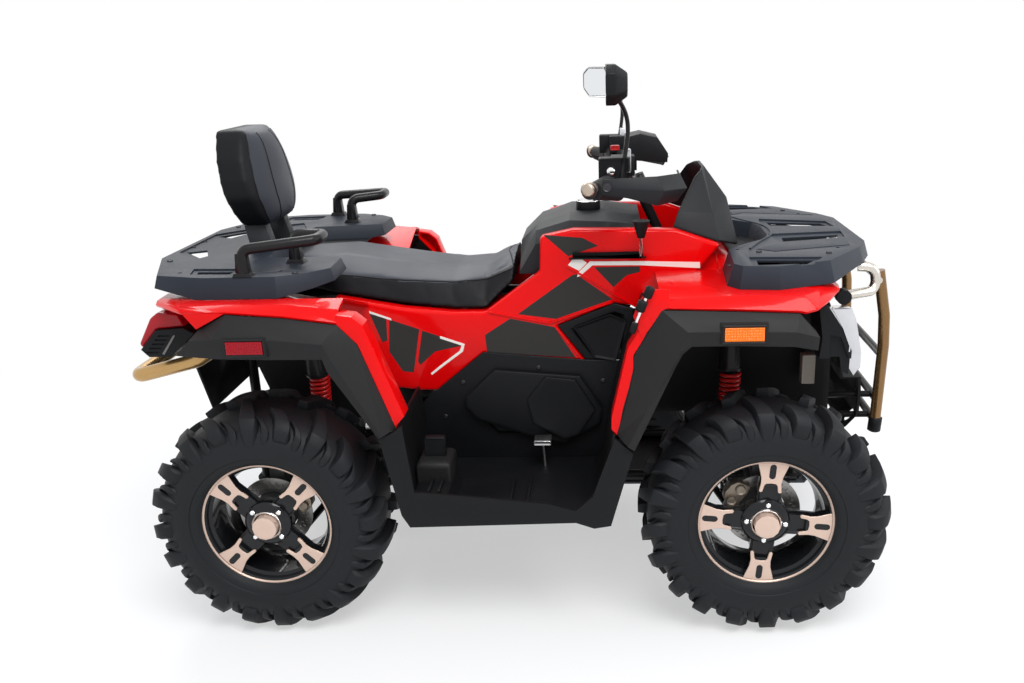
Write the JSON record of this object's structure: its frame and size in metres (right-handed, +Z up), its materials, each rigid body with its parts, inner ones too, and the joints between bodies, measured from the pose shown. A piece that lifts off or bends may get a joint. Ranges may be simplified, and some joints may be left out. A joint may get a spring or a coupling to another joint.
{
  "type": "quad bike",
  "caption": "Two-up quad bike with lugged tyres on spoked wheels, double wishbones, tube bumpers, moulded racks, long seat and padded backrest.",
  "frame": {"origin": "on the ground below the middle of the length and width", "axes": "+X forward, +Y to the rider's left, +Z up"},
  "size_m": [2.0139, 1.1786, 1.431],
  "materials": {
    "tyre": "matt",
    "wheel_black": "satin",
    "wheel_machined": "machined",
    "cast_steel": "satin",
    "plated_steel": "satin",
    "frame_black": "semi-gloss",
    "damper_black": "satin",
    "spring_red": "gloss",
    "skid_grey": "matt",
    "engine_grey": "cast",
    "muffler_steel": "satin",
    "grip_rubber": "matt",
    "trim_grey": "satin",
    "black_plastic": "textured",
    "body_red": "gloss",
    "decal_grey": "satin",
    "decal_white": "gloss",
    "seat_vinyl": "satin",
    "chrome": "polished",
    "rack_grey": "satin",
    "bracket_grey": "satin",
    "lamp_clear": "clear",
    "lamp_red": "clear",
    "reflector_amber": "clear",
    "reflector_red": "clear",
    "bumper_bronze": "metallic",
    "bright_tube": "satin",
    "mirror_glass": "polished"
  },
  "bodies": {
    "chassis": {"backrest_mount": "bracket_grey", "backrest_pad": "seat_vinyl", "belly_plate": "skid_grey", "bumper_loops": "bright_tube", "bumpers": "bumper_bronze", "cowl": "trim_grey", "dampers": "damper_black", "drivetrain": "cast_steel", "engine": "engine_grey", "footwells": "black_plastic", "frame": "frame_black", "front_rack": "rack_grey", "front_wings": "body_red", "fuel_cap": "chrome", "gear_lever": "black_plastic", "grab_handles": "frame_black", "headlamps": "lamp_clear", "hub_carriers": "cast_steel", "muffler": "muffler_steel", "nose": "black_plastic", "rear_rack": "rack_grey", "rear_wings": "body_red", "reflectors_front": "reflector_amber", "reflectors_rear": "reflector_red", "seat": "seat_vinyl", "side_covers": "black_plastic", "side_panels": "body_red", "springs": "spring_red", "suspension_arms": "frame_black", "tail_lamps": "lamp_red", "tail_panel": "black_plastic", "tank_cover": "trim_grey", "wheel_arch_flares": "black_plastic"},
    "steering": {"steering_column": "frame_black", "handlebar": "frame_black", "grips": "grip_rubber", "hand_guards": "trim_grey", "mirrors": "black_plastic", "controls": "black_plastic"},
    "knuckle_right": {"knuckle_right": "cast_steel"},
    "tie_rod_right": {"tie_rod_right": "plated_steel"},
    "wheel_front_right": {"tyre_front_right": "tyre", "rim_front_right": "wheel_black"},
    "wheel_rear_right": {"tyre_rear_right": "tyre", "rim_rear_right": "wheel_black"},
    "knuckle_left": {"knuckle_left": "cast_steel"},
    "tie_rod_left": {"tie_rod_left": "plated_steel"},
    "wheel_front_left": {"tyre_front_left": "tyre", "rim_front_left": "wheel_black"},
    "wheel_rear_left": {"tyre_rear_left": "tyre", "rim_rear_left": "wheel_black"}
  },
  "joints": [
    {"name": "steering_turn", "type": "hinge", "parent": "chassis", "child": "steering", "pos_m": [0.6375, 0, 0.4455], "axis": [-0.4195, 0, 0.9077], "range_deg": [-30, 30]},
    {"name": "knuckle_right_turn", "type": "hinge", "parent": "chassis", "child": "knuckle_right", "pos_m": [0.6375, -0.4, 0.3175], "axis": [0, 0, 1], "range_deg": [-30, 30]},
    {"name": "tie_rod_right_swivel", "type": "hinge", "parent": "knuckle_right", "child": "tie_rod_right", "pos_m": [0.5475, -0.422, 0.3775], "axis": [0, 0, 1], "range_deg": [-30, 30]},
    {"name": "wheel_front_right_spin", "type": "hinge", "parent": "knuckle_right", "child": "wheel_front_right", "pos_m": [0.6375, -0.45, 0.3175], "axis": [0, 1, 0], "continuous": true},
    {"name": "wheel_rear_right_spin", "type": "hinge", "parent": "chassis", "child": "wheel_rear_right", "pos_m": [-0.6375, -0.45, 0.3175], "axis": [0, 1, 0], "continuous": true},
    {"name": "knuckle_left_turn", "type": "hinge", "parent": "chassis", "child": "knuckle_left", "pos_m": [0.6375, 0.4, 0.3175], "axis": [0, 0, 1], "range_deg": [-30, 30]},
    {"name": "tie_rod_left_swivel", "type": "hinge", "parent": "knuckle_left", "child": "tie_rod_left", "pos_m": [0.5475, 0.422, 0.3775], "axis": [0, 0, 1], "range_deg": [-30, 30]},
    {"name": "wheel_front_left_spin", "type": "hinge", "parent": "knuckle_left", "child": "wheel_front_left", "pos_m": [0.6375, 0.45, 0.3175], "axis": [0, 1, 0], "continuous": true},
    {"name": "wheel_rear_left_spin", "type": "hinge", "parent": "chassis", "child": "wheel_rear_left", "pos_m": [-0.6375, 0.45, 0.3175], "axis": [0, 1, 0], "continuous": true}
  ],
  "couplings": [
    {"joint": "knuckle_right_turn", "follows": "steering_turn", "ratio": 1},
    {"joint": "tie_rod_right_swivel", "follows": "steering_turn", "ratio": -1},
    {"joint": "knuckle_left_turn", "follows": "steering_turn", "ratio": 1},
    {"joint": "tie_rod_left_swivel", "follows": "steering_turn", "ratio": -1}
  ]
}
